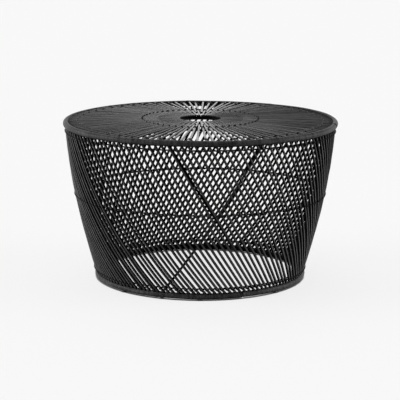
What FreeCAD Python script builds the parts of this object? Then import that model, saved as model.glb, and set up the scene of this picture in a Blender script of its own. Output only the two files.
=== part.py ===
import FreeCAD, Part
import math
import os

# Round coffee table of black rattan: a drum of slanting sticks between two bent poles,
# with a crowned top of radial spokes. Millimetres, +Z up, the front faces -Y.
# The origin is on the floor, on the table's axis. Azimuths are degrees from the front,
# positive to the right.

# Overall sizes
rim_diameter = 800.0
base_diameter = 622.0
rim_height = 465.0
top_crown = 5.0

# Bent poles of the rim and the base ring
pole_diameter = 17.5
rim_joint_angle = 78.0
base_joint_angle = 23.0
pin_diameter = 3.0
pin_length = 24.0

# Sticks of the side wall
stick_diameter = 7.0
sticks_per_quarter = 33
stick_nodes_per_quarter = 3
stick_foot_offset = 2.8
stick_head_offset = -0.8
stick_angle_below_tie = 25.9
stick_angle_above_tie = 16.7
stick_scatter_angle = 0.45
side_bulge = 12.7

# Ties that hold the sticks at three heights: a hoop inside, a strand outside
tie_hoop_diameter = 4.2
tie_strand_diameter = 2.4
upper_tie_drop = 11.5
mid_tie_height = 251.5
lower_tie_rise = 10.5

# Braces inside the ties, leaning the other way
brace_diameter = 7.0
brace_foot_angle = -18.0
brace_angle_below_tie = 26.6
brace_angle_above_tie = 17.0
lashing_wall = 2.0
lashing_length = 10.0

# Spokes of the top, with the hoops under them and the strands over them
spoke_diameter = 6.5
spoke_rise = 4.2
spokes_per_quarter = 27
spoke_nodes_per_quarter = 3
spoke_scatter_angle = 0.4
long_spoke_spacing = 0.5
short_spoke_spacing = 0.8
top_hoop_diameter = 5.0
centre_hoop_diameter = 10.0
centre_hoop_inset = 9.0
top_strand_diameter = 2.6
inner_hoop_radius = 170.0
outer_hoop_inset = 24.0

# Glides tacked under the base ring
glide_diameter = 12.0
glide_height = 2.5
glide_lip = 2.0
glide_chamfer = 0.6
glide_count = 8
shank_diameter = 3.0
shank_length = 6.0

# Clearances
seat_gap = 0.1
bore_gap = 0.05

# Derived sizes
quarters = 4
half_turn = 180
pole_radius = pole_diameter / 2
stick_radius = stick_diameter / 2
brace_radius = brace_diameter / 2
spoke_radius = spoke_diameter / 2
rim_radius = rim_diameter / 2 - pole_radius
rim_level = rim_height - pole_radius
base_radius = base_diameter / 2 - pole_radius
base_level = glide_height + pole_radius
stick_foot_radius = base_radius + stick_foot_offset
stick_head_radius = rim_radius + stick_head_offset
stick_foot_level = base_level + pole_radius + seat_gap
stick_head_level = rim_level - pole_radius - seat_gap
upper_tie_height = stick_head_level - upper_tie_drop
lower_tie_height = stick_foot_level + lower_tie_rise
spoke_total = quarters * spokes_per_quarter
spoke_end_radius = rim_radius - pole_radius - seat_gap
hole_radius = spoke_total / 2 * (spoke_diameter + long_spoke_spacing) / (2 * math.pi)
short_spoke_radius = spoke_total * (spoke_diameter + short_spoke_spacing) / (2 * math.pi)
outer_hoop_radius = spoke_end_radius - outer_hoop_inset
centre_hoop_radius = hole_radius + centre_hoop_inset + centre_hoop_diameter / 2

UP = FreeCAD.Vector(0, 0, 1)
ORIGIN = FreeCAD.Vector(0, 0, 0)


def place(radius, azimuth, height):
    """The point at a radius, an azimuth and a height."""
    turn = math.radians(azimuth)
    return FreeCAD.Vector(radius * math.sin(turn), -radius * math.cos(turn), height)


def radius_of(point):
    return math.hypot(point.x, point.y)


def azimuth_of(point):
    return math.degrees(math.atan2(point.x, -point.y))


def crossing(measure, low, high):
    """Where a measure that rises from low to high passes zero."""
    for _ in range(60):
        middle = (low + high) / 2
        if measure(middle) < 0:
            low = middle
        else:
            high = middle
    return (low + high) / 2


class Bend:
    """The centre line of a bent rod: one arc through three points, measured in degrees."""

    def __init__(self, first, middle, last):
        circle = Part.Circle(first, middle, last)
        self.centre = circle.Center
        self.axis = circle.Axis
        self.arm = first - self.centre
        self.sweep = self.turn_to(last)
        if self.sweep > half_turn:
            self.axis = -circle.Axis
            self.sweep = self.turn_to(last)

    def turn_to(self, point):
        reach = point - self.centre
        side = self.axis.cross(self.arm)
        return math.degrees(math.atan2(reach.dot(side), reach.dot(self.arm))) % 360

    def degrees_for(self, length):
        return math.degrees(length / self.arm.Length)

    def point(self, degrees):
        return self.centre + FreeCAD.Rotation(self.axis, degrees).multVec(self.arm)

    def direction(self, degrees):
        return self.axis.cross(self.point(degrees) - self.centre).normalize()

    def rod(self, radius, start, end):
        """The solid rod between two angles of the bend."""
        outline = Part.Wire(Part.makeCircle(radius, self.point(start), self.direction(start)))
        return Part.Face(outline).revolve(self.centre, self.axis, end - start)

    def beside(self, degrees, distance):
        """Radius and height at a distance square to a rising bend, inside it if negative."""
        point = self.point(degrees)
        along = self.direction(degrees)
        radius = radius_of(point)
        outward = (point.x * along.x + point.y * along.y) / radius
        slant = math.hypot(outward, along.z)
        return radius + distance * along.z / slant, point.z - distance * outward / slant

    def at_height(self, height):
        """The angle at which a rising bend passes a height."""
        return crossing(lambda angle: self.point(angle).z - height, -self.sweep, 2 * self.sweep)

    def at_radius(self, radius):
        """The angle at which a bend that runs outwards passes a radius."""
        return crossing(lambda angle: radius_of(self.point(angle)) - radius, 0, self.sweep)

    def distance_to_hoop(self, degrees, radius, level):
        point = self.point(degrees)
        return math.hypot(radius_of(point) - radius, point.z - level)


def turned(shape, azimuth):
    copy = shape.copy()
    copy.rotate(ORIGIN, UP, azimuth)
    return copy


def upright(radius, point, height):
    return Part.makeCylinder(radius, height, point, UP)


def hoop(radius, level, thickness):
    return Part.makeTorus(radius, thickness / 2, FreeCAD.Vector(0, 0, level), UP)


def scatter(index, count, amount):
    """A hand-laid rod's angle off its even place, fading out at both ends of the quarter."""
    waver = 0.6 * math.sin(2.4 * index) + 0.4 * math.sin(5.3 * index + 1.0)
    return amount * waver * math.sin(math.pi * (index + 0.5) / count)


def save(name, solids):
    shape = solids[0] if len(solids) == 1 else Part.makeCompound(solids)
    shape.exportStep("parts/" + name + ".step")


def save_in_order(name, rods, nodes):
    """Share the rods out, in order, over a number of nodes."""
    for node in range(nodes):
        first = node * len(rods) // nodes
        last = (node + 1) * len(rods) // nodes
        save(name + "_%02d" % (node + 1), rods[first:last])


os.makedirs("parts", exist_ok=True)


# Pole rings: each is two half hoops that butt end to end, held by a pin hidden in each joint
def joint_pins(radius, level, joint, grow):
    """The pins along a pole ring's two joints, or with grow their bores."""
    pins = []
    for azimuth in (joint, joint + half_turn):
        along = UP.cross(place(1, azimuth, 0))
        start = place(radius, azimuth, level) - along * (pin_length / 2 + grow)
        pins.append(Part.makeCylinder(pin_diameter / 2 + grow, pin_length + 2 * grow, start, along))
    return pins


def pole_half(radius, level, start, bores):
    """Half a pole ring, from one azimuth to the far side."""
    end = place(radius, start, level)
    outline = Part.Wire(Part.makeCircle(pole_radius, end, UP.cross(end)))
    return Part.Face(outline).revolve(ORIGIN, UP, half_turn).cut(bores)


def glide_feet(level):
    return [place(base_radius, 360 * index / glide_count, level) for index in range(glide_count)]


rim_bores = joint_pins(rim_radius, rim_level, rim_joint_angle, bore_gap)
rim_front = pole_half(rim_radius, rim_level, rim_joint_angle - half_turn, rim_bores)
rim_back = pole_half(rim_radius, rim_level, rim_joint_angle, rim_bores)
save("rim_pole_front", rim_front.Solids)
save("rim_pole_back", rim_back.Solids)
save("rim_joint_pins", joint_pins(rim_radius, rim_level, rim_joint_angle, 0))

shank_bores = []
for foot in glide_feet(0):
    shank_bores.append(upright(shank_diameter / 2 + bore_gap, foot, glide_height + shank_length + bore_gap))
base_bores = joint_pins(base_radius, base_level, base_joint_angle, bore_gap) + shank_bores
base_front = pole_half(base_radius, base_level, base_joint_angle - half_turn, base_bores)
base_back = pole_half(base_radius, base_level, base_joint_angle, base_bores)
save("base_pole_front", base_front.Solids)
save("base_pole_back", base_back.Solids)
save("base_joint_pins", joint_pins(base_radius, base_level, base_joint_angle, 0))


# Floor glides: round pads hollowed to the pole, with a shank driven up into it
def floor_glide(foot):
    pad = upright(glide_diameter / 2, foot, glide_height + glide_lip)
    floor_edges = [edge for edge in pad.Edges if edge.BoundBox.ZMax < glide_height / 2]
    pad = pad.makeChamfer(glide_chamfer, floor_edges)
    pad = pad.cut(hoop(base_radius, base_level, pole_diameter + 2 * seat_gap))
    shank_foot = foot + UP * (glide_height / 2)
    return pad.fuse(upright(shank_diameter / 2, shank_foot, glide_height / 2 + shank_length))


save("floor_glides", [floor_glide(foot).Solids[0] for foot in glide_feet(0)])


# Side sticks: each is bent over the mid tie and cut level against the two pole rings
mid_share = (mid_tie_height - stick_foot_level) / (stick_head_level - stick_foot_level)
mid_radius = stick_foot_radius + (stick_head_radius - stick_foot_radius) * mid_share + side_bulge
stick = Bend(
    place(stick_foot_radius, stick_angle_below_tie, stick_foot_level),
    place(mid_radius, 0, mid_tie_height),
    place(stick_head_radius, -stick_angle_above_tie, stick_head_level),
)
overrun = stick.degrees_for(2 * stick_diameter)
wall_band = Part.makeBox(
    2 * rim_diameter,
    2 * rim_diameter,
    stick_head_level - stick_foot_level,
    FreeCAD.Vector(-rim_diameter, -rim_diameter, stick_foot_level),
)
stick_rod = stick.rod(stick_radius, -overrun, stick.sweep + overrun).common(wall_band)
stick_pitch = 360 / (quarters * sticks_per_quarter)
side_sticks = []
for quarter in range(quarters):
    for index in range(sticks_per_quarter):
        even = quarter * 360 / quarters + (index + 0.5) * stick_pitch
        azimuth = even + scatter(index, sticks_per_quarter, stick_scatter_angle)
        side_sticks.append(turned(stick_rod.Solids[0], azimuth))
save_in_order("side_sticks", side_sticks, quarters * stick_nodes_per_quarter)

# Ties: a thin hoop against the inside of the sticks and a strand against their outside
tie_angles = {
    "upper": stick.at_height(upper_tie_height),
    "mid": stick.at_height(mid_tie_height),
    "lower": stick.at_height(lower_tie_height),
}
hoop_offset = stick_radius + seat_gap + tie_hoop_diameter / 2
strand_offset = stick_radius + seat_gap + tie_strand_diameter / 2
for tie, angle in tie_angles.items():
    inside_radius, inside_level = stick.beside(angle, -hoop_offset)
    save(tie + "_tie_hoop", [hoop(inside_radius, inside_level, tie_hoop_diameter)])
    outside_radius, outside_level = stick.beside(angle, strand_offset)
    save(tie + "_tie_strand", [hoop(outside_radius, outside_level, tie_strand_diameter)])

# Braces: four poles that lie against the three tie hoops, from the base ring to the rim
brace_offset = hoop_offset + tie_hoop_diameter / 2 + seat_gap + brace_radius
lower_radius, lower_level = stick.beside(tie_angles["lower"], -brace_offset)
middle_radius, middle_level = stick.beside(tie_angles["mid"], -brace_offset)
upper_radius, upper_level = stick.beside(tie_angles["upper"], -brace_offset)
brace_mid_azimuth = brace_foot_angle + brace_angle_below_tie
brace = Bend(
    place(lower_radius, brace_foot_angle, lower_level),
    place(middle_radius, brace_mid_azimuth, middle_level),
    place(upper_radius, brace_mid_azimuth + brace_angle_above_tie, upper_level),
)
pole_reach = pole_radius + seat_gap + brace_radius
brace_start = crossing(
    lambda angle: brace.distance_to_hoop(angle, base_radius, base_level) - pole_reach,
    brace.at_height(base_level),
    0,
)
brace_end = crossing(
    lambda angle: pole_reach - brace.distance_to_hoop(angle, rim_radius, rim_level),
    brace.sweep,
    brace.at_height(rim_level),
)
brace_rod = brace.rod(brace_radius, brace_start, brace_end)
for quarter in range(quarters):
    save("brace_%d" % (quarter + 1), [turned(brace_rod, quarter * 360 / quarters)])


# Lashings: cane whipped round both ends of each brace, up against the pole rings
def lashing(start, end, pole_radius_there, pole_level):
    whipping = brace.rod(brace_radius + lashing_wall, start, end)
    whipping = whipping.cut(brace.rod(brace_radius + bore_gap, brace_start - overrun, brace_end + overrun))
    return whipping.cut(hoop(pole_radius_there, pole_level, pole_diameter + 2 * seat_gap))


lashing_turn = brace.degrees_for(lashing_length)
foot_lashing = lashing(brace_start, brace_start + lashing_turn, base_radius, base_level)
head_lashing = lashing(brace_end - lashing_turn, brace_end, rim_radius, rim_level)
quarter_turns = [quarter * 360 / quarters for quarter in range(quarters)]
save("brace_foot_lashings", [turned(foot_lashing.Solids[0], turn) for turn in quarter_turns])
save("brace_head_lashings", [turned(head_lashing.Solids[0], turn) for turn in quarter_turns])


# Spokes: long ones close up round the centre hole, short ones fill in between them
def crown_level(radius):
    return rim_level + spoke_rise + top_crown * (1 - (radius / spoke_end_radius) ** 2)


def spoke_bend(inner_radius):
    middle = (inner_radius + spoke_end_radius) / 2
    return Bend(
        place(inner_radius, 0, crown_level(inner_radius)),
        place(middle, 0, crown_level(middle)),
        place(spoke_end_radius, 0, crown_level(spoke_end_radius)),
    )


def laid_spoke(inner_radius, azimuth, skew):
    """A spoke at its azimuth, its outer end swung a little to one side."""
    bend = spoke_bend(inner_radius)
    spoke = bend.rod(spoke_radius, 0, bend.sweep)
    spoke.rotate(bend.point(0), UP, skew)
    return turned(spoke, azimuth)


spoke_pitch = 360 / spoke_total
first_gap = azimuth_of(brace.point(brace_end))
top_spokes = []
for number in range(spoke_total):
    azimuth = first_gap + (number + 0.5) * spoke_pitch
    skew = scatter(number % spokes_per_quarter, spokes_per_quarter, spoke_scatter_angle)
    inner_radius = hole_radius if number % 2 == 0 else short_spoke_radius
    top_spokes.append(laid_spoke(inner_radius, azimuth, skew))
save_in_order("top_spokes", top_spokes, quarters * spoke_nodes_per_quarter)


# Top hoops: bent under the spokes, with a strand over the spokes above two of them
def hoop_along_spokes(radius, distance, thickness):
    """A hoop at a distance square to the spokes, under them if positive."""
    bend = spoke_bend(hole_radius)
    angle = bend.at_radius(radius)
    point = bend.point(angle)
    along = bend.direction(angle)
    outward = -along.y
    return hoop(radius_of(point) + distance * along.z, point.z - distance * outward, thickness)


under_spokes = spoke_radius + seat_gap
over_spokes = -(spoke_radius + seat_gap + top_strand_diameter / 2)
for name, radius in (("inner", inner_hoop_radius), ("outer", outer_hoop_radius)):
    under_hoop = under_spokes + top_hoop_diameter / 2
    save("top_" + name + "_hoop", [hoop_along_spokes(radius, under_hoop, top_hoop_diameter)])
    save("top_" + name + "_strand", [hoop_along_spokes(radius, over_spokes, top_strand_diameter)])
under_centre = under_spokes + centre_hoop_diameter / 2
save("centre_hoop", [hoop_along_spokes(centre_hoop_radius, under_centre, centre_hoop_diameter)])
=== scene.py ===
import math
import bmesh
import bpy
from mathutils import Matrix, Vector


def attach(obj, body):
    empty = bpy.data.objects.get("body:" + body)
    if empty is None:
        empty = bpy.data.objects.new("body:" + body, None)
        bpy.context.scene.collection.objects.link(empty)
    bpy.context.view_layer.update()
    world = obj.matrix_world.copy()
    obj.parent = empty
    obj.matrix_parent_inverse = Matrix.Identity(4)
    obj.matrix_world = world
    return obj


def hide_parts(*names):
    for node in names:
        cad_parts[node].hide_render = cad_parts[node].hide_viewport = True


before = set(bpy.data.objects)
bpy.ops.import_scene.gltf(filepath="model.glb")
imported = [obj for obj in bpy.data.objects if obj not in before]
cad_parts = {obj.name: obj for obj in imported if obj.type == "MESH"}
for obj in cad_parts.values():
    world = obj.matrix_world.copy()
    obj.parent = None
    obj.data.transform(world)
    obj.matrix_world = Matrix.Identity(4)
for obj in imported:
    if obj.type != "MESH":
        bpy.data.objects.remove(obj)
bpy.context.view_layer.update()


# Base ring: the bent rattan pole at the foot, which carries the wall of sticks. Two half hoops
# of peeled cane, steamed round a former and stained black, butt end to end on hidden pins.
# About every 27 cm a joint of the cane swells a little.
def place(radius, azimuth, height):
    """The point at a radius, an azimuth in degrees from the front, and a height."""
    turn = math.radians(azimuth)
    return Vector((radius * math.sin(turn), -radius * math.cos(turn), height))


def node(tree, kind, feeds=(), **settings):
    """A node with its settings, fed by plain values or by other nodes' sockets."""
    made = tree.nodes.new(kind)
    for key, value in settings.items():
        setattr(made, key, value)
    for key, value in dict(feeds).items():
        if isinstance(value, bpy.types.NodeSocket):
            tree.links.new(value, made.inputs[key])
        else:
            made.inputs[key].default_value = value
    return made


def reckon(tree, operation, *values):
    """A reckoning with plain numbers."""
    return node(tree, "ShaderNodeMath", enumerate(values), operation=operation).outputs[0]


def times(tree, first, second):
    return reckon(tree, "MULTIPLY", first, second)


def vector_of(tree, *values):
    """A vector made of its parts."""
    return node(tree, "ShaderNodeCombineXYZ", enumerate(values)).outputs[0]


def vectors(tree, operation, first, second=None):
    """A reckoning with vectors, or the scaling of one by a plain number."""
    feeds = {0: first}
    if second is not None:
        feeds["Scale" if operation == "SCALE" else 1] = second
    made = node(tree, "ShaderNodeVectorMath", feeds, operation=operation)
    return made.outputs["Value" if operation in ("DOT_PRODUCT", "LENGTH") else "Vector"]


def level_part(tree, vector):
    return vectors(tree, "MULTIPLY", vector, (1.0, 1.0, 0.0))


def noise(tree, point, detail, scale=1.0, roughness=0.5, output="Fac"):
    """Smooth noise about a half, at a point."""
    feeds = {"Vector": point, "Scale": scale, "Detail": detail, "Roughness": roughness}
    return node(tree, "ShaderNodeTexNoise", feeds).outputs[output]


def ranged(tree, value, low, high, first=0.0, last=1.0, kind="LINEAR"):
    """A value carried over from one range to another."""
    feeds = {"Value": value, "From Min": low, "From Max": high, "To Min": first, "To Max": last}
    return node(tree, "ShaderNodeMapRange", feeds, interpolation_type=kind).outputs["Result"]


def kept(tree, geometry, name, value, data_type="FLOAT", domain="POINT"):
    """The geometry with a value stored on it under a name."""
    feeds = {"Geometry": geometry, "Name": name, "Value": value}
    settings = {"data_type": data_type, "domain": domain}
    return node(tree, "GeometryNodeStoreNamedAttribute", feeds, **settings).outputs["Geometry"]


def read_back(tree, name, data_type="FLOAT"):
    """A value that was stored under a name."""
    settings = {"data_type": data_type}
    return node(tree, "GeometryNodeInputNamedAttribute", {"Name": name}, **settings).outputs["Attribute"]


def new_tree(name, result, **inputs):
    """A tree of geometry nodes with its named inputs, by kind, and its one result."""
    tree = bpy.data.node_groups.new(name, "GeometryNodeTree")
    for kind, labels in inputs.items():
        for label in labels:
            tree.interface.new_socket(label, in_out="INPUT", socket_type="NodeSocket" + kind)
    tree.interface.new_socket(result, in_out="OUTPUT", socket_type="NodeSocketGeometry")
    return tree, tree.nodes.new("NodeGroupInput").outputs


def swept(tree, path, thickness, given):
    """A round section swept along a path, and how far each of its points lies across it."""
    feeds = {"Resolution": given["Sides"], "Radius": 1.0}
    ring = node(tree, "GeometryNodeCurvePrimitiveCircle", feeds).outputs["Curve"]
    spot = tree.nodes.new("GeometryNodeInputPosition").outputs[0]
    ring = kept(tree, ring, "ring", spot, "FLOAT_VECTOR")
    feeds = {"Curve": path, "Profile Curve": ring, "Scale": thickness, "Fill Caps": True}
    mesh = node(tree, "GeometryNodeCurveToMesh", feeds).outputs["Mesh"]
    across = node(tree, "ShaderNodeSeparateXYZ", {0: read_back(tree, "ring", "FLOAT_VECTOR")}).outputs
    return mesh, [times(tree, across[axis], given["Radius"]) for axis in (0, 1)]


def end_tree(tree, geometry, result, finish):
    """Makes all instances real, sets the material and hands the result out."""
    geometry = node(tree, "GeometryNodeRealizeInstances", {"Geometry": geometry}).outputs["Geometry"]
    feeds = {"Geometry": geometry, "Material": finish}
    geometry = node(tree, "GeometryNodeSetMaterial", feeds).outputs["Geometry"]
    node(tree, "NodeGroupOutput", {result: geometry})


# Waves to a metre of rod, how far apart the noise of two rods lies, and what brings noise up to one.
BOW_WAVES = 4.5
BOW_APART = 91.0
WAVER_WAVES = 14.0
WAVER_APART = 53.0
WAVER_SLICE = 7.0
GRAIN_APART = 9.0
NOISE_GAIN = 4.0


def bent_rods_tree():
    """Lays one bent rod on each station: an arc swept with a waver, a bow and swollen cane joints."""
    sizes = ["Radius", "Waver", "Bow", "Joint Spacing", "Joint Length", "Joint Swell", "Taper", "Lit Side Tilt"]
    tree, given = new_tree(
        "bent_rods", "Rods", Geometry=["Stations"], Vector=["First", "Middle", "Last"], Float=sizes,
        Int=["Steps", "Sides", "Seed"], Material=["Finish"],
    )
    feeds = {"Resolution": given["Steps"], "Start": given["First"]}
    feeds.update({"Middle": given["Middle"], "End": given["Last"]})
    arc = node(tree, "GeometryNodeCurveArc", feeds, mode="POINTS").outputs["Curve"]
    turn = vector_of(tree, 0.0, 0.0, read_back(tree, "turn"))
    turn = node(tree, "FunctionNodeEulerToRotation", {"Euler": turn}).outputs["Rotation"]
    feeds = {"Points": given["Stations"], "Instance": arc, "Rotation": turn}
    rods = node(tree, "GeometryNodeInstanceOnPoints", feeds).outputs["Instances"]
    index = tree.nodes.new("GeometryNodeInputIndex").outputs["Index"]
    feeds = {"ID": index, "Seed": given["Seed"]}
    chance = node(tree, "FunctionNodeRandomValue", feeds, data_type="FLOAT").outputs[1]
    rods = kept(tree, rods, "rod", chance, domain="INSTANCE")
    rods = node(tree, "GeometryNodeRealizeInstances", {"Geometry": rods}).outputs["Geometry"]

    rod = read_back(tree, "rod")
    measure = tree.nodes.new("GeometryNodeSplineParameter").outputs
    along, factor = measure["Length"], measure["Factor"]
    point = vector_of(tree, times(tree, along, BOW_WAVES), times(tree, rod, BOW_APART))
    bow = vectors(tree, "SUBTRACT", noise(tree, point, 1.0, output="Color"), (0.5, 0.5, 0.5))
    free = reckon(tree, "SINE", times(tree, factor, math.pi))
    reach = times(tree, times(tree, free, given["Bow"]), NOISE_GAIN)
    feeds = {"Geometry": rods, "Offset": vectors(tree, "SCALE", bow, reach)}
    rods = node(tree, "GeometryNodeSetPosition", feeds).outputs["Geometry"]

    point = vector_of(tree, times(tree, along, WAVER_WAVES), times(tree, rod, WAVER_APART), WAVER_SLICE)
    waver = reckon(tree, "SUBTRACT", noise(tree, point, 2.0), 0.5)
    waver = times(tree, waver, given["Waver"])
    spaces = reckon(tree, "ADD", reckon(tree, "DIVIDE", along, given["Joint Spacing"]), rod)
    off_joint = reckon(tree, "ABSOLUTE", reckon(tree, "SUBTRACT", reckon(tree, "FRACT", spaces), 0.5))
    off_joint = times(tree, off_joint, given["Joint Spacing"])
    joint = ranged(tree, off_joint, 0.0, given["Joint Length"], 1.0, 0.0, "SMOOTHSTEP")
    swell = reckon(tree, "ADD", waver, times(tree, joint, given["Joint Swell"]))
    thinned = reckon(tree, "MULTIPLY_ADD", factor, times(tree, given["Taper"], -1.0), 1.0)
    thickness = times(tree, given["Radius"], reckon(tree, "ADD", swell, thinned))
    rods = kept(tree, rods, "along", along)
    rods = kept(tree, rods, "joint", joint)

    rods, lay = swept(tree, rods, thickness, given)
    shift = reckon(tree, "ADD", read_back(tree, "along"), times(tree, rod, GRAIN_APART))
    rods = kept(tree, rods, "lay", vector_of(tree, *lay, shift), "FLOAT_VECTOR")
    # How squarely each point faces a lit way, tilted up from outward; the finish paints shade on the side
    # turned away.
    spot = tree.nodes.new("GeometryNodeInputPosition").outputs[0]
    outward = vectors(tree, "NORMALIZE", level_part(tree, spot))
    outward = vectors(tree, "SCALE", outward, reckon(tree, "COSINE", given["Lit Side Tilt"]))
    upward = vector_of(tree, 0.0, 0.0, reckon(tree, "SINE", given["Lit Side Tilt"]))
    lit_way = vectors(tree, "ADD", outward, upward)
    facing = tree.nodes.new("GeometryNodeInputNormal").outputs[0]
    rods = kept(tree, rods, "lit_facing", vectors(tree, "DOT_PRODUCT", facing, lit_way))

    # Only the end caps have more than four corners, and they stay flat.
    corners = tree.nodes.new("GeometryNodeInputMeshFaceNeighbors").outputs["Vertex Count"]
    feeds = {"Geometry": rods, "Shade Smooth": reckon(tree, "LESS_THAN", corners, 4.5)}
    rods = node(tree, "GeometryNodeSetShadeSmooth", feeds, domain="FACE").outputs["Geometry"]
    end_tree(tree, rods, "Rods", given["Finish"])
    return tree


bent_rods = bent_rods_tree()


def made_plain(piece, tree, sizes):
    """Runs a tree on a piece with its named sizes, and keeps the result as the piece's own plain mesh."""
    modifier = piece.modifiers.new(tree.name, "NODES")
    modifier.node_group = tree
    for item in tree.interface.items_tree:
        if item.in_out == "INPUT" and item.name in sizes:
            modifier[item.identifier] = sizes[item.name]
    scene_state = bpy.context.evaluated_depsgraph_get()
    shown = piece.evaluated_get(scene_state)
    plain = bpy.data.meshes.new_from_object(shown, preserve_all_data_layers=True, depsgraph=scene_state)
    name = piece.name
    bpy.data.objects.remove(piece)
    plain.name = name
    piece = bpy.data.objects.new(name, plain)
    bpy.context.scene.collection.objects.link(piece)
    return piece


def lay_rods(name, stations, bend, sizes):
    """Rods of one bend, one at each station, which is a point and a turn in degrees."""
    mesh = bpy.data.meshes.new(name + "_stations")
    mesh.from_pydata([point for point, turn in stations], [], [])
    turns = mesh.attributes.new("turn", "FLOAT", "POINT")
    turns.data.foreach_set("value", [math.radians(turn) for point, turn in stations])
    piece = bpy.data.objects.new(name, mesh)
    bpy.context.scene.collection.objects.link(piece)
    ends = {label: tuple(point) for label, point in zip(("First", "Middle", "Last"), bend)}
    return made_plain(piece, bent_rods, {**ends, **sizes})


def bare_finish(name):
    """A new material with an empty node tree."""
    finish = bpy.data.materials.new(name)
    finish.use_nodes = True
    finish.node_tree.nodes.clear()
    return finish, finish.node_tree


def end_finish(tree, feeds):
    surface = node(tree, "ShaderNodeBsdfPrincipled", feeds).outputs["BSDF"]
    node(tree, "ShaderNodeOutputMaterial", {"Surface": surface})


def mixed_colours(tree, share, first, second):
    mix = node(tree, "ShaderNodeMix", data_type="RGBA")
    for key, value in ((0, share), (6, first), (7, second)):
        if isinstance(value, bpy.types.NodeSocket):
            tree.links.new(value, mix.inputs[key])
        else:
            mix.inputs[key].default_value = value if key == 0 else (*value, 1.0)
    return mix.outputs[2]


def stretched(tree, point, scale):
    return node(tree, "ShaderNodeMapping", {"Vector": point, "Scale": scale}).outputs[0]


def own_spot(tree):
    """A point of the surface in the piece's own space."""
    return node(tree, "ShaderNodeTexCoord").outputs["Object"]


def off_axis(tree):
    """How far a point of the surface lies from the table's axis."""
    return vectors(tree, "LENGTH", level_part(tree, own_spot(tree)))


FIBRE_LENGTH = 45
FIBRE_SHARE = 0.55
PATCH_SCALE = (90.0, 90.0, 16.0)
STAIN_RANGE = (0.32, 0.68)
RUBBED_RANGE = (0.60, 0.74)
JOINT_DARKNESS = 0.6
BAND_SCALE = (45.0, 45.0, 150.0)
BAND_RANGE = (0.35, 0.65)
BAND_HEIGHT = 1.6
BANDED_FIBRE_HEIGHT = 0.4
# Gloss and roughness on the side of a rod that carries painted shade.
SHADE_SIDE_GLOSS = 0.1
SHADE_SIDE_ROUGHNESS = 0.75
GRAIN_STRENGTH = 0.35
GRAIN_DEPTH = 0.0006


def rattan_finish(
    name, dark, stain, rubbed, streak, roughness, gloss, hoop=None, rods=0.0, bands=0.0,
    painted_shade=None, shade_edge=(-0.3, 0.5), shaded_end=None,
):
    """Black-stained rattan: long fibres, uneven stain, rubbed spots and dark cane joints.

    A hoop that keeps its solid gives its radius. Rods and bands vary the tone from rod to rod and
    along a pole. Painted shade: the side that faces away from the light is painted dark and dull,
    and so is a shaded end between two radii.
    """
    finish, tree = bare_finish(name)
    if hoop is None:
        lay = node(tree, "ShaderNodeAttribute", attribute_name="lay").outputs["Vector"]
        joint = node(tree, "ShaderNodeAttribute", attribute_name="joint").outputs["Fac"]
    else:
        x, y, z = node(tree, "ShaderNodeSeparateXYZ", {0: own_spot(tree)}).outputs
        lay = vector_of(tree, off_axis(tree), z, times(tree, reckon(tree, "ARCTAN2", y, x), hoop))
        joint = 0.0
    fibres = noise(tree, stretched(tree, lay, (streak, streak, streak / FIBRE_LENGTH)), 3.0, roughness=0.6)
    patches = noise(tree, stretched(tree, lay, PATCH_SCALE), 4.0, roughness=0.55)
    spread = reckon(tree, "ADD", times(tree, fibres, FIBRE_SHARE), times(tree, patches, 1 - FIBRE_SHARE))
    spread = ranged(tree, spread, *STAIN_RANGE)
    colour = mixed_colours(tree, spread, dark, stain)
    worn = ranged(tree, patches, *RUBBED_RANGE, kind="SMOOTHSTEP")
    colour = mixed_colours(tree, times(tree, worn, fibres), colour, rubbed)
    colour = mixed_colours(tree, times(tree, joint, JOINT_DARKNESS), colour, dark)
    height = fibres
    if rods:
        rod = node(tree, "ShaderNodeAttribute", attribute_name="rod").outputs["Fac"]
        colour = vectors(tree, "SCALE", colour, ranged(tree, rod, 0.0, 1.0, 1.0 - rods, 1.0 + rods))
    if bands:
        ribs = noise(tree, stretched(tree, lay, BAND_SCALE), 1.0)
        colour = vectors(tree, "SCALE", colour, ranged(tree, ribs, *BAND_RANGE, 1.0 - bands, 1.0 + bands))
        height = times(tree, fibres, BANDED_FIBRE_HEIGHT)
        height = reckon(tree, "ADD", height, times(tree, ribs, BAND_HEIGHT))
    rough = ranged(tree, spread, 0.0, 1.0, *roughness)
    # Painted shade: the side turned away from the lit way is painted near-black, duller and rougher.
    if painted_shade:
        lit_facing = node(tree, "ShaderNodeAttribute", attribute_name="lit_facing").outputs["Fac"]
        lit_facing = ranged(tree, lit_facing, *shade_edge, kind="SMOOTHSTEP")
        colour = mixed_colours(tree, lit_facing, painted_shade, colour)
        rough = ranged(tree, lit_facing, 0.0, 1.0, SHADE_SIDE_ROUGHNESS, rough)
        gloss = reckon(tree, "MULTIPLY_ADD", lit_facing, (1 - SHADE_SIDE_GLOSS) * gloss, SHADE_SIDE_GLOSS * gloss)
    # Painted shade: between two radii from the axis the shade colour is painted too.
    if shaded_end:
        colour = mixed_colours(tree, ranged(tree, off_axis(tree), *shaded_end), colour, painted_shade)
    feeds = {"Height": height, "Strength": GRAIN_STRENGTH, "Distance": GRAIN_DEPTH}
    bump = node(tree, "ShaderNodeBump", feeds).outputs["Normal"]
    end_finish(tree, {"Base Color": colour, "Roughness": rough, "Normal": bump, "Specular IOR Level": gloss})
    return finish


STAIN_DARK = (0.014, 0.014, 0.014)
STAIN = (0.058, 0.057, 0.057)
RUBBED = (0.120, 0.116, 0.112)
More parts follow.
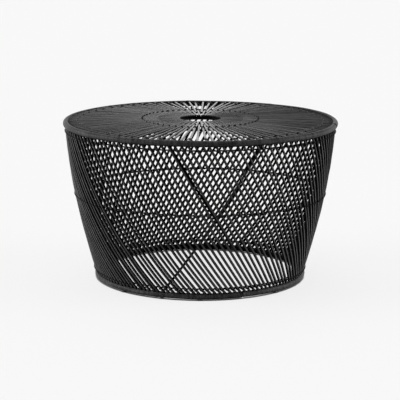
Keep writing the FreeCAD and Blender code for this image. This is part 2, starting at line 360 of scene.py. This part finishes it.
# Painted shade: the colour on the side of a rod turned away from the light.
PAINTED_SHADE_COLOUR = (0.004, 0.004, 0.004)
POLE_STAIN = (0.072, 0.071, 0.071)
pole_rattan = rattan_finish(
    "black_rattan_pole", STAIN_DARK, POLE_STAIN, RUBBED, streak=900.0, roughness=(0.40, 0.55), gloss=0.10,
    bands=0.42, painted_shade=PAINTED_SHADE_COLOUR,
)
POLE_RADIUS = 0.00875
POLE_END_ROUNDING = 0.0024
LIFT_OUTWARD = 0.6
# Painted shade on each pole's lower inner side, away from a lit way tilted 0.8 rad up from outward.
pole_sizes = {
    "Radius": POLE_RADIUS, "Waver": 0.05, "Bow": 0.0012, "Joint Spacing": 0.27, "Joint Length": 0.010,
    "Joint Swell": 0.045, "Lit Side Tilt": 0.8, "Steps": 440, "Sides": 20, "Finish": pole_rattan,
}


def half_hoop(name, radius, level, start, lift, seed):
    """Half a pole ring with rounded ends. Its first end may stand a little up and out of line."""
    bend = [place(radius + lift * LIFT_OUTWARD, start, level + lift)]
    bend += [place(radius, start + 90, level), place(radius, start + 180, level)]
    piece = lay_rods(name, [((0, 0, 0), 0)], bend, {**pole_sizes, "Seed": seed})
    mesh = bmesh.new()
    mesh.from_mesh(piece.data)
    edges = {edge for face in mesh.faces if len(face.verts) > 4 for edge in face.edges}
    settings = {"offset": POLE_END_ROUNDING, "segments": 3, "profile": 0.5, "affect": "EDGES"}
    bmesh.ops.bevel(mesh, geom=list(edges), **settings)
    mesh.to_mesh(piece.data)
    mesh.free()
    return piece


BASE_RADIUS = 0.30225
BASE_LEVEL = 0.01125
BASE_JOINT = 23.0
BASE_LIFT = 0.0008
for half, start, lift, seed in (("front", BASE_JOINT - 180, 0.0, 3), ("back", BASE_JOINT, BASE_LIFT, 4)):
    hoop_half = half_hoop("base_hoop_" + half, BASE_RADIUS, BASE_LEVEL, start, lift, seed)
    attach(hoop_half, "root")
    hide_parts("base_pole_" + half)


# Glides and pins: small black plastic pads tacked under the base ring, and steel pins that
# hold the pole ends together and don't show. Both keep their solids from the frame.
PLASTIC_DARK = (0.012, 0.012, 0.012)
PLASTIC_SCUFFED = (0.0264, 0.0264, 0.0264)
PLASTIC_GRAIN = 1400.0
PLASTIC_SCUFFS = 160.0
PLASTIC_ROUGHNESS = (0.45, 0.65)
STEEL_DARK = (0.30, 0.30, 0.31)
STEEL_BRIGHT = (0.52, 0.52, 0.53)
STEEL_LINES = (3000.0, 3000.0, 90.0)
STEEL_ROUGHNESS = (0.25, 0.45)


def moulded_plastic(name):
    """Plastic with a fine moulded grain and scuffs."""
    finish, tree = bare_finish(name)
    spot = own_spot(tree)
    grain = noise(tree, spot, 2.0, scale=PLASTIC_GRAIN)
    scuff = noise(tree, spot, 3.0, scale=PLASTIC_SCUFFS)
    colour = mixed_colours(tree, scuff, PLASTIC_DARK, PLASTIC_SCUFFED)
    rough = ranged(tree, scuff, 0.0, 1.0, *PLASTIC_ROUGHNESS)
    feeds = {"Height": grain, "Strength": 0.15, "Distance": 0.0002}
    bump = node(tree, "ShaderNodeBump", feeds).outputs["Normal"]
    end_finish(tree, {"Base Color": colour, "Roughness": rough, "Normal": bump})
    return finish


def drawn_steel(name):
    """Bright steel with the lines of the drawing die."""
    finish, tree = bare_finish(name)
    drawn = noise(tree, stretched(tree, own_spot(tree), STEEL_LINES), 2.0)
    colour = mixed_colours(tree, drawn, STEEL_DARK, STEEL_BRIGHT)
    rough = ranged(tree, drawn, 0.0, 1.0, *STEEL_ROUGHNESS)
    end_finish(tree, {"Base Color": colour, "Roughness": rough, "Metallic": 1.0})
    return finish


def refinish(nodes, finish):
    """Gives solids of the frame a better material, and leaves their shape alone."""
    for name in nodes:
        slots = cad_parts[name].data.materials
        slots.clear()
        slots.append(finish)


refinish(["floor_glides"], moulded_plastic("black_glide_plastic"))
refinish(["rim_joint_pins", "base_joint_pins"], drawn_steel("bright_pin_steel"))


# Wall sticks: about 130 thin rattan sticks in one layer, all leaning the same way from the
# base ring up to the rim. Peeled cane, a little thicker at the foot and stained black, laid by
# hand, so the gaps between them vary; the ends are nailed against the two pole rings.
STICKS_PER_QUARTER = 33
STICK_RADIUS = 0.00400
STICK_TAPER = 0.14
STICK_SCATTER = 0.45

# A radius, an azimuth in degrees and a height.
STICK_FOOT = (0.30425, 26.25, 0.0175)
STICK_MIDDLE = (0.36400, 0, 0.2515)
STICK_HEAD = (0.39068, -16.92, 0.4500)

# The share, the step and the start of each of two waves that seldom fall together.
SCATTER_WAVES = ((0.6, 2.4, 0.0), (0.4, 5.3, 1.0))


def scatter(index, count, amount):
    """How far a rod lies off its even place, fading out at both ends of its quarter."""
    waver = sum(share * math.sin(step * index + start) for share, step, start in SCATTER_WAVES)
    return amount * waver * math.sin(math.pi * (index + 0.5) / count)


def stick_azimuth(number):
    quarter, index = divmod(number, STICKS_PER_QUARTER)
    pitch = 90 / STICKS_PER_QUARTER
    return quarter * 90 + (index + 0.5) * pitch + scatter(index, STICKS_PER_QUARTER, STICK_SCATTER)


stick_turns = [stick_azimuth(number) for number in range(4 * STICKS_PER_QUARTER)]
stick_bend = [place(*spot) for spot in (STICK_FOOT, STICK_MIDDLE, STICK_HEAD)]
STICK_STAIN = (0.092, 0.091, 0.090)
# Painted shade: each stick is painted near-black on its inner side and its flanks, and only the face turned
# outward keeps the stain; the braces share it.
stick_rattan = rattan_finish(
    "black_rattan_stick", STAIN_DARK, STICK_STAIN, RUBBED, streak=1300.0, roughness=(0.22, 0.36), gloss=0.20,
    rods=0.35, painted_shade=PAINTED_SHADE_COLOUR, shade_edge=(0.55, 1.00),
)
stick_sizes = {
    "Radius": STICK_RADIUS, "Waver": 0.16, "Bow": 0.0007, "Joint Spacing": 0.33, "Joint Length": 0.009,
    "Joint Swell": 0.07, "Taper": STICK_TAPER, "Lit Side Tilt": 0.0, "Steps": 52, "Sides": 9,
    "Finish": stick_rattan, "Seed": 7,
}
wall_sticks = lay_rods("wall_sticks", [((0, 0, 0), turn) for turn in stick_turns], stick_bend, stick_sizes)
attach(wall_sticks, "root")
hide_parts(*["side_sticks_%02d" % (number + 1) for number in range(12)])


# Wall ties: at three heights a thin cane hoop lies inside the sticks, and a cane strand winds
# round it and out over every stick in turn, so that each crossing is bound. Split cane, stained
# near-black, darker than the sticks: the extra darkness is painted shade, so that the ties read
# as dark lines.
HALVINGS = 40
STEP_AHEAD = 0.01


def bend_point(bend, share):
    """The point at a share of the arc through three points."""
    first, middle, last = bend
    to_middle = middle - first
    to_last = last - first
    axis = to_middle.cross(to_last)
    arm = to_last.length_squared * axis.cross(to_middle) + to_middle.length_squared * to_last.cross(axis)
    centre = first + arm / (2 * axis.length_squared)
    axis.normalize()
    sweep = (first - centre).angle(middle - centre) + (middle - centre).angle(last - centre)
    return centre + Matrix.Rotation(share * sweep, 3, axis) @ (first - centre)


def bend_at_height(bend, height):
    """Radius, azimuth in degrees and outward slope of a rising bend at a height."""
    low, high = 0.0, 1.0
    for _ in range(HALVINGS):
        share = (low + high) / 2
        if bend_point(bend, share).z < height:
            low = share
        else:
            high = share
    point = bend_point(bend, low)
    ahead = bend_point(bend, low + STEP_AHEAD)
    radius = math.hypot(point.x, point.y)
    slope = (math.hypot(ahead.x, ahead.y) - radius) / (ahead.z - point.z)
    return radius, math.degrees(math.atan2(point.x, -point.y)), slope


def off_wall(radius, height, slope, azimuth, out, up):
    """A point off the middle of the sticks: square out from them and up along them."""
    lean = math.hypot(1, slope)
    return place(radius + (out + up * slope) / lean, azimuth, height + (up - out * slope) / lean)


STRAND_WAVES = 60.0
STRAND_WAVER = 0.18
STRAND_SIDES = 6


def wound_strand_tree():
    """Sweeps a strand of split cane along a path, with a waver in its thickness."""
    tree, given = new_tree(
        "wound_strand", "Strand", Geometry=["Path"], Float=["Radius", "Waver"], Int=["Sides"],
        Material=["Finish"],
    )
    along = tree.nodes.new("GeometryNodeSplineParameter").outputs["Length"]
    waver = reckon(tree, "SUBTRACT", noise(tree, vector_of(tree, times(tree, along, STRAND_WAVES)), 2.0), 0.5)
    waver = times(tree, waver, given["Waver"])
    thickness = times(tree, given["Radius"], reckon(tree, "ADD", waver, 1.0))
    path = kept(tree, given["Path"], "along", along)
    strand, lay = swept(tree, path, thickness, given)
    strand = kept(tree, strand, "lay", vector_of(tree, *lay, read_back(tree, "along")), "FLOAT_VECTOR")
    strand = node(tree, "GeometryNodeSetShadeSmooth", {"Geometry": strand}).outputs["Geometry"]
    end_tree(tree, strand, "Strand", given["Finish"])
    return tree


wound_strand = wound_strand_tree()


def wind(name, paths, radius, closed, finish, waver=STRAND_WAVER):
    """Strands of cane along smooth paths."""
    curve = bpy.data.curves.new(name + "_path", "CURVE")
    curve.dimensions = "3D"
    curve.resolution_u = 3
    for points in paths:
        spline = curve.splines.new("NURBS")
        spline.points.add(len(points) - 1)
        for control, point in zip(spline.points, points):
            control.co = (*point, 1.0)
        spline.use_cyclic_u = closed
        spline.use_endpoint_u = not closed
        spline.order_u = 3
    piece = bpy.data.objects.new(name, curve)
    bpy.context.scene.collection.objects.link(piece)
    sizes = {"Radius": radius, "Waver": waver, "Sides": STRAND_SIDES, "Finish": finish}
    return made_plain(piece, wound_strand, sizes)


# Painted shade: the split cane of the wall ties, their hoops and the top hoops is near-black, far darker than
# the sticks, so that it reads as the dark lines and dots of shade.
SHADED_CANE_DARK = (0.002, 0.002, 0.002)
SHADED_CANE = (0.009, 0.0088, 0.0088)
shaded_cane_strand = rattan_finish(
    "shade_dark_split_cane", SHADED_CANE_DARK, SHADED_CANE, STAIN, streak=2200.0, roughness=(0.55, 0.75), gloss=0.15,
)
shaded_cane_hoop = rattan_finish(
    "shade_dark_cane_hoop", SHADED_CANE_DARK, SHADED_CANE, STAIN, streak=1500.0, roughness=(0.55, 0.75), gloss=0.12, hoop=0.37,
)

UPPER_TIE = 0.4359
MID_TIE = 0.2515
LOWER_TIE = 0.0306
INSIDE_STICKS = 0.0036
TIE_HOOP_RADIUS = 0.0021

# How far the strand runs each way over a stick and in a gap, how deep it lies in the gap and how
# far it rises there, and how loosely it goes round the hoop.
TIE_OVER_STICK = 0.0022
TIE_IN_GAP = 0.0016
TIE_GAP_DEPTH = 0.0050
TIE_GAP_RISE = 0.0008
TIE_SLACK = 0.0004

# A height, the slant of the strand over a stick, and the strand's radius.
ties = {
    "upper": (UPPER_TIE, 0.0003, 0.0016),
    "mid": (MID_TIE, 0.0022, 0.0012),
    "lower": (LOWER_TIE, 0.0016, 0.0015),
}
for tie, (height, slant, strand_radius) in ties.items():
    radius, lead, slope = bend_at_height(stick_bend, height)
    wall = (radius, height, slope)
    over = STICK_RADIUS * (1 - STICK_TAPER * height / STICK_HEAD[2]) + strand_radius
    behind = INSIDE_STICKS + 2 * TIE_HOOP_RADIUS + strand_radius
    rise = TIE_GAP_RISE + slant
    degree = math.degrees(1 / radius)
    path = []
    for number, turn in enumerate(stick_turns):
        here = turn + lead
        ahead = stick_turns[number + 1] if number + 1 < len(stick_turns) else stick_turns[0] + 360
        gap = here + (ahead - turn) / 2
        path.append(off_wall(*wall, here - TIE_OVER_STICK * degree, over, -slant))
        path.append(off_wall(*wall, here + TIE_OVER_STICK * degree, over, slant))
        path.append(off_wall(*wall, gap - TIE_IN_GAP * degree, -TIE_GAP_DEPTH, rise))
        path.append(off_wall(*wall, gap, -behind - TIE_SLACK, 0.0))
        path.append(off_wall(*wall, gap + TIE_IN_GAP * degree, -TIE_GAP_DEPTH, -rise))
    strand = wind(tie + "_tie_binding", [path], strand_radius, True, shaded_cane_strand)
    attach(strand, "root")
    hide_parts(tie + "_tie_strand")
refinish(["upper_tie_hoop", "mid_tie_hoop", "lower_tie_hoop"], shaded_cane_hoop)


# Rim: the bent rattan pole round the top, of the same stock as the base ring. Its two half
# hoops butt end to end at the left and right on hidden pins. At the right joint the back half
# stands a little proud of the front one.
RIM_RADIUS = 0.39125
RIM_LEVEL = 0.45625
RIM_JOINT = 78.0
RIM_LIFT = 0.0016
for half, start, lift, seed in (("front", RIM_JOINT - 180, 0.0, 11), ("back", RIM_JOINT, RIM_LIFT, 12)):
    hoop_half = half_hoop("rim_hoop_" + half, RIM_RADIUS, RIM_LEVEL, start, lift, seed)
    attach(hoop_half, "root")
    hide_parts("rim_pole_" + half)


# Braces: four rattan sticks inside the wall that lean the other way and stiffen the drum.
# They lie against the three tie hoops, from the base ring up to the rim, and both of their ends
# are bound with cane.
BRACES = 4
BRACE_RADIUS = 0.0035
BRACE_GAP = 0.0002
BRACE_OVERRUN = 0.037
brace_reach = INSIDE_STICKS + 2 * TIE_HOOP_RADIUS + BRACE_RADIUS + BRACE_GAP
brace_bend = []
for height, azimuth in ((LOWER_TIE, -18.0), (MID_TIE, 8.6), (UPPER_TIE, 25.6)):
    radius, _, slope = bend_at_height(stick_bend, height)
    brace_bend.append(off_wall(radius, height, slope, azimuth, -brace_reach, 0.0))
brace_whole = [bend_point(brace_bend, share) for share in (-BRACE_OVERRUN, 0.5, 1 + BRACE_OVERRUN)]
brace_sizes = {
    **stick_sizes, "Radius": BRACE_RADIUS, "Taper": 0.0, "Steps": 90, "Sides": 12, "Bow": 0.0, "Seed": 21,
}
for number in range(BRACES):
    stations = [((0, 0, 0), number * 360 / BRACES)]
    brace = lay_rods("wall_brace_%d" % (number + 1), stations, brace_whole, brace_sizes)
    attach(brace, "root")
    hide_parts("brace_%d" % (number + 1))


# Brace lashings: split cane wound tightly round both ends of each brace, one strand to an end.
# At the foot the strand goes on round the base ring, and at the head it is tucked in against
# the rim.
LASHING_RADIUS = 0.0010
LASHING_LOOSENESS = 1.06
LASHING_PITCH = 0.0024
POINTS_PER_TURN = 8
lashing_cane = rattan_finish(
    "black_lashing_cane", STAIN_DARK, STAIN, RUBBED, streak=2200.0, roughness=(0.40, 0.55), gloss=0.30,
)


def lashing_path(start, end, turns, pole_radius, pole_level, pole_share, pole_turns):
    """Turns round the brace between two shares of its bend, then turns round the pole ring."""
    points = []
    reach = (BRACE_RADIUS + LASHING_RADIUS) * LASHING_LOOSENESS
    for step in range(turns * POINTS_PER_TURN + 1):
        share = start + (end - start) * step / (turns * POINTS_PER_TURN)
        middle = bend_point(brace_whole, share)
        along = (bend_point(brace_whole, share + STEP_AHEAD) - middle).normalized()
        side = along.cross(Vector((0, 0, 1))).normalized()
        out = side.cross(along)
        angle = 2 * math.pi * step / POINTS_PER_TURN
        points.append(middle + reach * (math.cos(angle) * side + math.sin(angle) * out))
    meeting = bend_point(brace_whole, pole_share)
    azimuth = math.degrees(math.atan2(meeting.x, -meeting.y))
    reach = POLE_RADIUS + LASHING_RADIUS / 2
    for step in range(pole_turns * POINTS_PER_TURN + 1):
        angle = 2 * math.pi * step / POINTS_PER_TURN + math.pi
        shift = math.degrees((step / POINTS_PER_TURN - pole_turns / 2) * LASHING_PITCH / pole_radius)
        radius = pole_radius + reach * math.cos(angle)
        points.append(place(radius, azimuth + shift, pole_level + reach * math.sin(angle)))
    return points


foot_path = lashing_path(
    start=0.048, end=0.012, turns=7,
    pole_radius=BASE_RADIUS, pole_level=BASE_LEVEL, pole_share=0.0, pole_turns=4,
)
head_path = lashing_path(
    start=0.960, end=0.994, turns=7,
    pole_radius=RIM_RADIUS, pole_level=RIM_LEVEL, pole_share=1.0, pole_turns=0,
)
for end, path in (("foot", foot_path), ("head", head_path)):
    paths = []
    for number in range(BRACES):
        turn = Matrix.Rotation(math.radians(number * 360 / BRACES), 3, "Z")
        paths.append([turn @ point for point in path])
    lashing = wind("brace_%s_binding" % end, paths, LASHING_RADIUS, False, lashing_cane)
    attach(lashing, "root")
    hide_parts("brace_%s_lashings" % end)


# Top hoops: three cane hoops under the spokes. They keep their solids from the frame. The
# one round the centre hole carries the inner ends of the long spokes.
refinish(["top_inner_hoop", "top_outer_hoop", "centre_hoop"], shaded_cane_hoop)


# Top spokes: about 108 rattan sticks that run in from the rim in a slight crown. Every second
# one stops short, and the others close up round the open centre. Their outer ends are nailed
# to the inside of the rim.
SPOKES_PER_QUARTER = 27
SPOKES = 4 * SPOKES_PER_QUARTER
SPOKE_RADIUS = 0.00325
LONG_SPOKE_START = 0.06016
SHORT_SPOKE_START = 0.12548
SPOKE_END = 0.3836
CROWN_RADIUS = 0.3824
SPOKE_RISE = 0.0042
TOP_CROWN = 0.005
SPOKE_SCATTER = 0.7
FIRST_SPOKE = 27.06


def crown_level(radius):
    return RIM_LEVEL + SPOKE_RISE + TOP_CROWN * (1 - (radius / CROWN_RADIUS) ** 2)


def spoke_lay(number):
    """Inner radius, azimuth and skew of a spoke."""
    inner = LONG_SPOKE_START if number % 2 == 0 else SHORT_SPOKE_START
    azimuth = FIRST_SPOKE + (number + 0.5) * 360 / SPOKES
    return inner, azimuth, scatter(number % SPOKES_PER_QUARTER, SPOKES_PER_QUARTER, SPOKE_SCATTER)


# Painted shade: each spoke is painted near-black on its flanks and underside, and on a band at its outer end
# against the rim, where the shadow lies.
spoke_rattan = rattan_finish(
    "black_rattan_spoke", STAIN_DARK, STAIN, RUBBED, streak=1300.0, roughness=(0.18, 0.30), gloss=0.45,
    rods=0.65, painted_shade=PAINTED_SHADE_COLOUR, shade_edge=(-0.1, 0.7), shaded_end=(0.371, 0.379),
)
spoke_sizes = {
    "Radius": SPOKE_RADIUS, "Waver": 0.18, "Bow": 0.0012, "Joint Spacing": 0.33, "Joint Length": 0.009,
    "Joint Swell": 0.06, "Lit Side Tilt": math.pi / 2, "Sides": 9, "Finish": spoke_rattan,
}
for kind, first, steps, seed in (("long", 0, 38, 31), ("short", 1, 30, 32)):
    stations = []
    for number in range(first, SPOKES, 2):
        inner, azimuth, skew = spoke_lay(number)
        stations.append((place(inner, azimuth, 0), azimuth + skew))
    span = SPOKE_END - inner
    bend = [Vector((0, -share * span, crown_level(inner + share * span))) for share in (0, 0.5, 1)]
    spokes = lay_rods("%s_spokes" % kind, stations, bend, {**spoke_sizes, "Steps": steps, "Seed": seed})
    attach(spokes, "root")
    if kind == "long":
        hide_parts(*["top_spokes_%02d" % (number + 1) for number in range(12)])


# Top ties: a cane strand winds round each of the two hoops under the spokes and up over every
# second spoke. From above they show as a dotted ring and as a ring of dashes near the rim.
INNER_TIE = 0.170
OUTER_TIE = 0.3584
TOP_STRAND_RADIUS = 0.0015
TOP_STRAND_WAVER = 0.5
TOP_HOOP_RADIUS = 0.0025

# How far the strand runs each way over a spoke, its slant there, how far it leans in the gaps and
# how deep it lies in them, and how loosely it goes round the hoop.
TOP_OVER_SPOKE = 0.0026
TOP_SLANT = 0.0006
TOP_GAP_LEAN = 0.0004
TOP_GAP_DEPTH = 0.0035
TOP_SLACK = 0.0004


def spoke_azimuth(number, radius):
    """Where a spoke crosses a radius."""
    inner, azimuth, skew = spoke_lay(number)
    turn = math.radians(skew)
    run = -inner * math.cos(turn) + math.sqrt(radius ** 2 - (inner * math.sin(turn)) ** 2)
    return azimuth + math.degrees(math.atan2(run * math.sin(turn), inner + run * math.cos(turn)))


# Painted shade: the inner ring's strand is near-black, so that its crossings read as dark dots.
for ring, radius, cane in (("inner", INNER_TIE, shaded_cane_strand), ("outer", OUTER_TIE, lashing_cane)):
    level = crown_level(radius)
    degree = math.degrees(1 / radius)
    top = level + SPOKE_RADIUS + TOP_STRAND_RADIUS
    bottom = level - SPOKE_RADIUS - 2 * TOP_HOOP_RADIUS - TOP_STRAND_RADIUS - TOP_SLACK
    aside = TOP_HOOP_RADIUS + TOP_STRAND_RADIUS
    crossings = [spoke_azimuth(number, radius) for number in range(SPOKES)]
    crossings.append(crossings[0] + 360)
    path = []
    for number in range(0, SPOKES, 2):
        here, under, ahead = crossings[number:number + 3]
        down = (here + under) / 2 - TOP_GAP_LEAN * degree
        back_up = (under + ahead) / 2 + TOP_GAP_LEAN * degree
        path.append(place(radius - TOP_SLANT, here - TOP_OVER_SPOKE * degree, top))
        path.append(place(radius + TOP_SLANT, here + TOP_OVER_SPOKE * degree, top))
        path.append(place(radius + aside, down, level - TOP_GAP_DEPTH))
        path.append(place(radius, under, bottom))
        path.append(place(radius - aside, back_up, level - TOP_GAP_DEPTH))
    strand = wind("top_%s_binding" % ring, [path], TOP_STRAND_RADIUS, True, cane, waver=TOP_STRAND_WAVER)
    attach(strand, "root")
    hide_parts("top_%s_strand" % ring)


# Studio: a pale floor without an edge in view, soft light from above, from the horizon behind
# and from both sides, and the camera at the photo's height and distance. The floor is white to
# the camera and in reflections, and keeps the shadow where the base ring meets it.
FLOOR_REACH = 60.0
FLOOR_SHADE = (0.22, 0.22, 0.22)
FLOOR_SEEN_SHADE = (0.15, 0.15, 0.15)
FLOOR_WHITE = 0.80
CONTACT_REACH = 0.006
CONTACT_DARKNESS = 4.0
floor_mesh = bpy.data.meshes.new("studio_floor")
corners = [(x * FLOOR_REACH, y * FLOOR_REACH, 0) for x, y in ((-1, -1), (1, -1), (1, 1), (-1, 1))]
floor_mesh.from_pydata(corners, [], [(0, 1, 2, 3)])
floor = bpy.data.objects.new("studio_floor", floor_mesh)
bpy.context.scene.collection.objects.link(floor)
paper, tree = bare_finish("studio_paper")
ray = node(tree, "ShaderNodeLightPath").outputs
mirrored = reckon(tree, "MAXIMUM", ray["Is Glossy Ray"], ray["Is Transmission Ray"])
seen = reckon(tree, "MAXIMUM", ray["Is Camera Ray"], mirrored)
shade = mixed_colours(tree, seen, FLOOR_SHADE, FLOOR_SEEN_SHADE)
lit = node(tree, "ShaderNodeBsdfDiffuse", {"Color": shade}).outputs[0]
contact = node(tree, "ShaderNodeAmbientOcclusion", {"Distance": CONTACT_REACH}, samples=8).outputs["AO"]
contact = reckon(tree, "POWER", contact, CONTACT_DARKNESS)
white = times(tree, times(tree, seen, FLOOR_WHITE), contact)
white = node(tree, "ShaderNodeEmission", {"Strength": white}).outputs[0]
surface = node(tree, "ShaderNodeAddShader", {0: lit, 1: white}).outputs[0]
node(tree, "ShaderNodeOutputMaterial", {"Surface": surface})
floor_mesh.materials.append(paper)

SKY_ABOVE = 0.40
SKY_LEAST = 0.03
BEHIND_RANGE = (0.0, 0.9)
GLOW_HEIGHTS = (0.10, 0.45)
HORIZON_GLOW = 1.45
UPPER_GLOW = 0.40
world = bpy.data.worlds.new("studio_light")
bpy.context.scene.world = world
world.use_nodes = True
tree = world.node_tree
tree.nodes.clear()
toward = node(tree, "ShaderNodeTexCoord").outputs["Generated"]
toward = node(tree, "ShaderNodeSeparateXYZ", {0: toward}).outputs
above = reckon(tree, "POWER", reckon(tree, "MAXIMUM", toward["Z"], 0.0), 2.0)
level = reckon(tree, "MULTIPLY_ADD", above, SKY_ABOVE, SKY_LEAST)
behind = ranged(tree, toward["Y"], *BEHIND_RANGE, kind="SMOOTHSTEP")
backdrop = ranged(tree, toward["Z"], *GLOW_HEIGHTS, HORIZON_GLOW, UPPER_GLOW, "SMOOTHSTEP")
level = reckon(tree, "MULTIPLY_ADD", behind, backdrop, level)
glow = node(tree, "ShaderNodeBackground", {"Color": (1, 1, 1, 1), "Strength": level}).outputs[0]
node(tree, "ShaderNodeOutputWorld", {"Surface": glow})

LIGHT_SPREAD = 50

# A strength, and the way that the light goes.
lights = {
    "key_light": (0.6, (0.20, -0.50, -1.0)),
    "left_light": (4.2, (1.0, 0.06, -0.13)),
    "right_light": (3.4, (-1.0, 0.02, -0.13)),
}
for name, (strength, way) in lights.items():
    light = bpy.data.objects.new(name, bpy.data.lights.new(name, "SUN"))
    light.data.energy = strength
    light.data.angle = math.radians(LIGHT_SPREAD)
    light.rotation_euler = Vector(way).to_track_quat("-Z", "Y").to_euler()
    bpy.context.scene.collection.objects.link(light)

CAMERA_PLACE = (0, -4.4334, 1.1352)
CAMERA_PITCH = 11.622
CAMERA_ROLL = 0.25
camera = bpy.data.objects.new("camera", bpy.data.cameras.new("camera"))
camera.data.sensor_width = 36.0
camera.data.lens = 138.02
camera.data.clip_end = 200.0
camera.location = CAMERA_PLACE
tilt = Matrix.Rotation(math.radians(90 - CAMERA_PITCH), 3, "X")
camera.rotation_euler = (tilt @ Matrix.Rotation(math.radians(CAMERA_ROLL), 3, "Z")).to_euler()
bpy.context.scene.collection.objects.link(camera)
bpy.context.scene.camera = camera
bpy.context.scene.view_settings.view_transform = "Standard"
